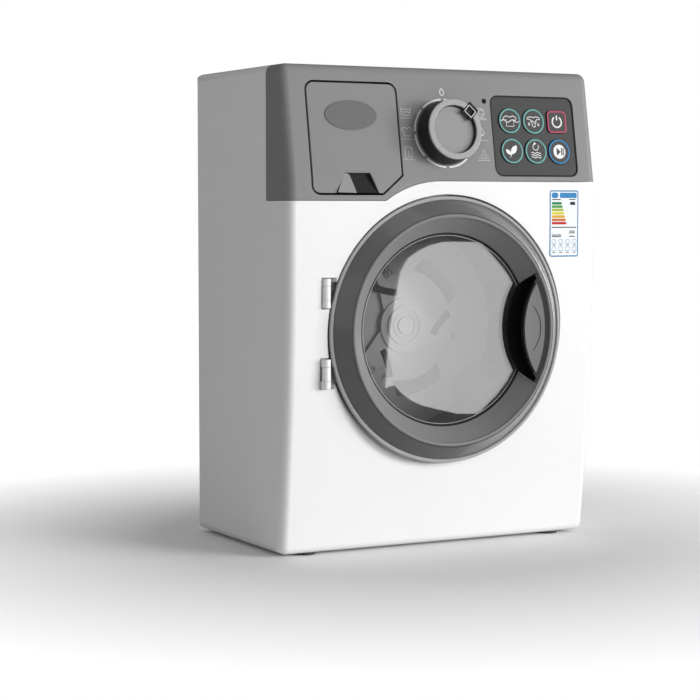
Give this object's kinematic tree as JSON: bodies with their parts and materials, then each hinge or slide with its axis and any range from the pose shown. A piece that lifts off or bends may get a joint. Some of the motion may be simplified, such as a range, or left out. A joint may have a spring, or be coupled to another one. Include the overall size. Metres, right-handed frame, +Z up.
{
  "type": "toy washing machine",
  "caption": "Toy front-loading washing machine with a hinged round door, turning drum, selector knob, push keys and pull-out drawer.",
  "frame": {"origin": "centre of the whole toy's bounding box in plan, on the surface under its feet", "axes": "+Z up, -Y out of the front door, +X to the right as the toy is faced"},
  "size_m": [0.2, 0.1339, 0.27],
  "materials": {
    "white_shell": "satin white moulded plastic",
    "panel_grey": "satin mid grey moulded plastic",
    "door_grey": "gloss dark grey moulded plastic",
    "light_grey": "satin light grey plastic",
    "charcoal": "matte charcoal plastic",
    "black_plastic": "gloss black plastic",
    "drum_grey": "satin grey moulded plastic",
    "key_plastic": "charcoal key with printed ring",
    "smoke_window": "clear smoked plastic",
    "steel": "plated steel",
    "brass": "sintered brass",
    "nylon": "natural acetal",
    "board": "green circuit board",
    "cell": "wrapped cell",
    "rubber": "matte rubber"
  },
  "bodies": {
    "cabinet": {"rear_shell": "white_shell", "front_cover": "white_shell", "control_panel": "panel_grey", "drawer_housing": "white_shell", "button_plate": "charcoal", "key_board": "board", "main_board": "board", "rotary_switch": "charcoal", "status_led": "black_plastic", "drum_tub": "charcoal", "axle_bush": "brass", "gearbox_case": "light_grey", "gearbox_cover": "light_grey", "motor": "steel", "idler_shaft": "steel", "battery_box": "charcoal", "battery_contacts": "steel", "battery_cells": "cell", "battery_door": "white_shell", "speaker": "black_plastic", "latch_catch": "steel", "rubber_feet": "rubber", "case_screws": "steel", "tub_screws": "steel", "gearbox_screws": "steel", "hinge_pins": "steel"},
    "door": {"door_bezel": "door_grey", "door_trim_ring": "light_grey", "door_inner_ring": "light_grey", "door_window": "smoke_window", "door_back_ring": "door_grey", "handle_plate": "light_grey", "handle_well": "black_plastic", "latch_hook": "door_grey", "door_screws_set": "steel"},
    "drum": {"drum_shell": "drum_grey", "drum_back": "drum_grey", "drum_lifters": "drum_grey", "drum_axle": "steel", "drum_gear": "nylon", "drum_screws": "steel"},
    "idler": {"idler_gear": "nylon"},
    "rotor": {"motor_pinion": "brass", "motor_shaft": "steel"},
    "knob": {"knob_body": "charcoal", "knob_rim": "light_grey", "knob_cap": "light_grey", "knob_pointer": "charcoal", "knob_shaft": "steel"},
    "drawer": {"drawer_front": "panel_grey", "drawer_tray": "white_shell", "drawer_badge": "panel_grey"},
    "key_wash_body": {"key_wash": "key_plastic"},
    "key_spin_body": {"key_spin": "key_plastic"},
    "key_power_body": {"key_power": "key_plastic"},
    "key_eco_body": {"key_eco": "key_plastic"},
    "key_rinse_body": {"key_rinse": "key_plastic"},
    "key_start_body": {"key_start": "key_plastic"}
  },
  "joints": [
    {"name": "door_swing", "type": "hinge", "parent": "cabinet", "child": "door", "pos_m": [-0.077, -0.05641, 0.1235], "axis": [0, 0, -1], "range_deg": [0, 110]},
    {"name": "drum_spin", "type": "hinge", "parent": "cabinet", "child": "drum", "pos_m": [0, -0.00101, 0.1235], "axis": [0, 1, 0], "continuous": true},
    {"name": "idler_spin", "type": "hinge", "parent": "cabinet", "child": "idler", "pos_m": [0, -0.00101, 0.0935], "axis": [0, 1, 0], "continuous": true},
    {"name": "rotor_spin", "type": "hinge", "parent": "cabinet", "child": "rotor", "pos_m": [0, -0.00101, 0.0735], "axis": [0, 1, 0], "continuous": true},
    {"name": "knob_turn", "type": "hinge", "parent": "cabinet", "child": "knob", "pos_m": [0, -0.05228, 0.23351], "axis": [0, -0.9855, 0.1695], "continuous": true},
    {"name": "drawer_slide", "type": "slide", "parent": "cabinet", "child": "drawer", "axis": [0, -1, 0], "range_m": [0, 0.045]},
    {"name": "key_wash_press", "type": "slide", "parent": "cabinet", "child": "key_wash_body", "axis": [0, 0.9855, -0.1695], "range_m": [0, 0.0008], "stiffness_N_per_m": 400},
    {"name": "key_spin_press", "type": "slide", "parent": "cabinet", "child": "key_spin_body", "axis": [0, 0.9855, -0.1695], "range_m": [0, 0.0008], "stiffness_N_per_m": 400},
    {"name": "key_power_press", "type": "slide", "parent": "cabinet", "child": "key_power_body", "axis": [0, 0.9855, -0.1695], "range_m": [0, 0.0008], "stiffness_N_per_m": 400},
    {"name": "key_eco_press", "type": "slide", "parent": "cabinet", "child": "key_eco_body", "axis": [0, 0.9855, -0.1695], "range_m": [0, 0.0008], "stiffness_N_per_m": 400},
    {"name": "key_rinse_press", "type": "slide", "parent": "cabinet", "child": "key_rinse_body", "axis": [0, 0.9855, -0.1695], "range_m": [0, 0.0008], "stiffness_N_per_m": 400},
    {"name": "key_start_press", "type": "slide", "parent": "cabinet", "child": "key_start_body", "axis": [0, 0.9855, -0.1695], "range_m": [0, 0.0008], "stiffness_N_per_m": 400}
  ],
  "couplings": [
    {"joint": "idler_spin", "follows": "drum_spin", "ratio": -4},
    {"joint": "rotor_spin", "follows": "drum_spin", "ratio": 16}
  ]
}
